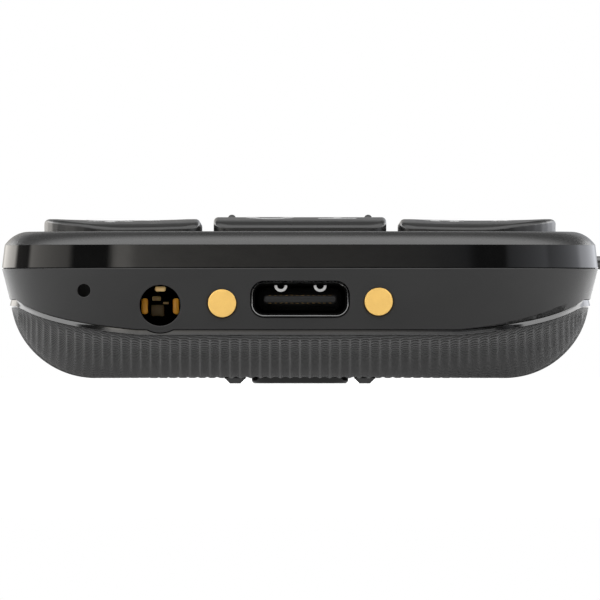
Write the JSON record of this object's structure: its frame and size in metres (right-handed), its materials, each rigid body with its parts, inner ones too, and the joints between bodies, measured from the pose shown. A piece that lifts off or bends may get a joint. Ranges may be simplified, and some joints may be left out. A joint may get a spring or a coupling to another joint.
{
  "type": "keypad mobile phone",
  "caption": "Bar-shaped keypad phone with a display window, press keys, bottom sockets and charging contacts, and a ribbed snap-off back cover.",
  "frame": {"origin": "under the middle of the body, on the plane of the camera surround's face and the two ridges of the back cover, which the phone lies on", "axes": "+X to the right of the bottom end, +Y from the bottom end with the sockets to the top end with the earpiece, +Z out of the front face with the keys and the display"},
  "size_m": [0.0559, 0.127, 0.0157],
  "materials": {
    "matt_plastic": "fine matt moulded",
    "gloss_plastic": "polished",
    "key_plastic": "satin",
    "textured_plastic": "fine ribbed texture with a polished rim",
    "dark_glass": "polished",
    "gold_plate": "gold plated",
    "steel": "satin",
    "black_plastic": "satin",
    "board_laminate": "solder mask",
    "soft_rubber": "matt",
    "cell_wrap": "satin wrap"
  },
  "bodies": {
    "housing": {"front_housing": "matt_plastic", "middle_housing": "matt_plastic", "gloss_ring": "gloss_plastic", "camera_surround": "gloss_plastic", "display_window": "dark_glass", "display_panel": "dark_glass", "camera_lens_window": "dark_glass", "flash_lens": "dark_glass", "charge_contact_left": "gold_plate", "charge_contact_right": "gold_plate", "jack_spring_sleeve": "gold_plate", "jack_spring_left": "gold_plate", "jack_spring_right": "gold_plate", "jack_spring_tip": "gold_plate", "usb_port_shell": "steel", "volume_switch": "steel", "earpiece_mesh": "steel", "microphone": "steel", "vibration_motor": "steel", "sim_holder": "steel", "memory_card_holder": "steel", "shield_can": "steel", "housing_screw_bottom_left": "steel", "housing_screw_top_left": "steel", "housing_screw_bottom_right": "steel", "housing_screw_top_right": "steel", "usb_port_tongue": "black_plastic", "audio_jack_body": "black_plastic", "earpiece_receiver": "black_plastic", "camera_module": "black_plastic", "loudspeaker": "black_plastic", "battery_connector": "black_plastic", "main_board": "board_laminate", "microphone_seal": "soft_rubber", "keypad_mat": "soft_rubber"},
    "key_star": {"key_star": "key_plastic"},
    "key_0": {"key_0": "key_plastic"},
    "key_hash": {"key_hash": "key_plastic"},
    "key_7": {"key_7": "key_plastic"},
    "key_8": {"key_8": "key_plastic"},
    "key_9": {"key_9": "key_plastic"},
    "key_4": {"key_4": "key_plastic"},
    "key_5": {"key_5": "key_plastic"},
    "key_6": {"key_6": "key_plastic"},
    "key_1": {"key_1": "key_plastic"},
    "key_2": {"key_2": "key_plastic"},
    "key_3": {"key_3": "key_plastic"},
    "call_key": {"call_key": "key_plastic"},
    "end_key": {"end_key": "key_plastic"},
    "menu_key": {"menu_key": "key_plastic"},
    "back_key": {"back_key": "key_plastic"},
    "ok_key": {"ok_key": "key_plastic"},
    "arrow_rocker": {"arrow_rocker": "key_plastic"},
    "volume_rocker": {"volume_rocker": "gloss_plastic"},
    "back_cover": {"back_cover": "textured_plastic"},
    "battery": {"battery": "cell_wrap"}
  },
  "joints": [
    {"name": "key_star_press", "type": "slide", "parent": "housing", "child": "key_star", "axis": [0, 0, -1], "range_m": [0, 0.00035], "stiffness_N_per_m": 3000},
    {"name": "key_0_press", "type": "slide", "parent": "housing", "child": "key_0", "axis": [0, 0, -1], "range_m": [0, 0.00035], "stiffness_N_per_m": 3000},
    {"name": "key_hash_press", "type": "slide", "parent": "housing", "child": "key_hash", "axis": [0, 0, -1], "range_m": [0, 0.00035], "stiffness_N_per_m": 3000},
    {"name": "key_7_press", "type": "slide", "parent": "housing", "child": "key_7", "axis": [0, 0, -1], "range_m": [0, 0.00035], "stiffness_N_per_m": 3000},
    {"name": "key_8_press", "type": "slide", "parent": "housing", "child": "key_8", "axis": [0, 0, -1], "range_m": [0, 0.00035], "stiffness_N_per_m": 3000},
    {"name": "key_9_press", "type": "slide", "parent": "housing", "child": "key_9", "axis": [0, 0, -1], "range_m": [0, 0.00035], "stiffness_N_per_m": 3000},
    {"name": "key_4_press", "type": "slide", "parent": "housing", "child": "key_4", "axis": [0, 0, -1], "range_m": [0, 0.00035], "stiffness_N_per_m": 3000},
    {"name": "key_5_press", "type": "slide", "parent": "housing", "child": "key_5", "axis": [0, 0, -1], "range_m": [0, 0.00035], "stiffness_N_per_m": 3000},
    {"name": "key_6_press", "type": "slide", "parent": "housing", "child": "key_6", "axis": [0, 0, -1], "range_m": [0, 0.00035], "stiffness_N_per_m": 3000},
    {"name": "key_1_press", "type": "slide", "parent": "housing", "child": "key_1", "axis": [0, 0, -1], "range_m": [0, 0.00035], "stiffness_N_per_m": 3000},
    {"name": "key_2_press", "type": "slide", "parent": "housing", "child": "key_2", "axis": [0, 0, -1], "range_m": [0, 0.00035], "stiffness_N_per_m": 3000},
    {"name": "key_3_press", "type": "slide", "parent": "housing", "child": "key_3", "axis": [0, 0, -1], "range_m": [0, 0.00035], "stiffness_N_per_m": 3000},
    {"name": "call_key_press", "type": "slide", "parent": "housing", "child": "call_key", "axis": [0, 0, -1], "range_m": [0, 0.00035], "stiffness_N_per_m": 3000},
    {"name": "end_key_press", "type": "slide", "parent": "housing", "child": "end_key", "axis": [0, 0, -1], "range_m": [0, 0.00035], "stiffness_N_per_m": 3000},
    {"name": "menu_key_press", "type": "slide", "parent": "housing", "child": "menu_key", "axis": [0, 0, -1], "range_m": [0, 0.00035], "stiffness_N_per_m": 3000},
    {"name": "back_key_press", "type": "slide", "parent": "housing", "child": "back_key", "axis": [0, 0, -1], "range_m": [0, 0.00035], "stiffness_N_per_m": 3000},
    {"name": "ok_key_press", "type": "slide", "parent": "arrow_rocker", "child": "ok_key", "axis": [0, 0, -1], "range_m": [0, 0.00025], "stiffness_N_per_m": 3000},
    {"name": "arrow_rocker_tilt", "type": "hinge", "parent": "housing", "child": "arrow_rocker", "pos_m": [0, -0.0051, 0.0118], "axis": [1, 0, 0], "range_deg": [-2.2, 2.2], "stiffness_Nm_per_rad": 0.3},
    {"name": "volume_rocker_tilt", "type": "hinge", "parent": "housing", "child": "volume_rocker", "pos_m": [0.0255, 0.003, 0.0113], "axis": [0, 0, 1], "range_deg": [-1.4, 1.4], "stiffness_Nm_per_rad": 0.3},
    {"name": "back_cover_lift_off", "type": "slide", "parent": "housing", "child": "back_cover", "axis": [0, 0, -1], "range_m": [0, 0.03]},
    {"name": "battery_lift_out", "type": "slide", "parent": "housing", "child": "battery", "axis": [0, 0, -1], "range_m": [0, 0.016]}
  ],
  "couplings": [
    {"joint": "battery_lift_out", "follows": "back_cover_lift_off", "ratio": 0.5}
  ]
}
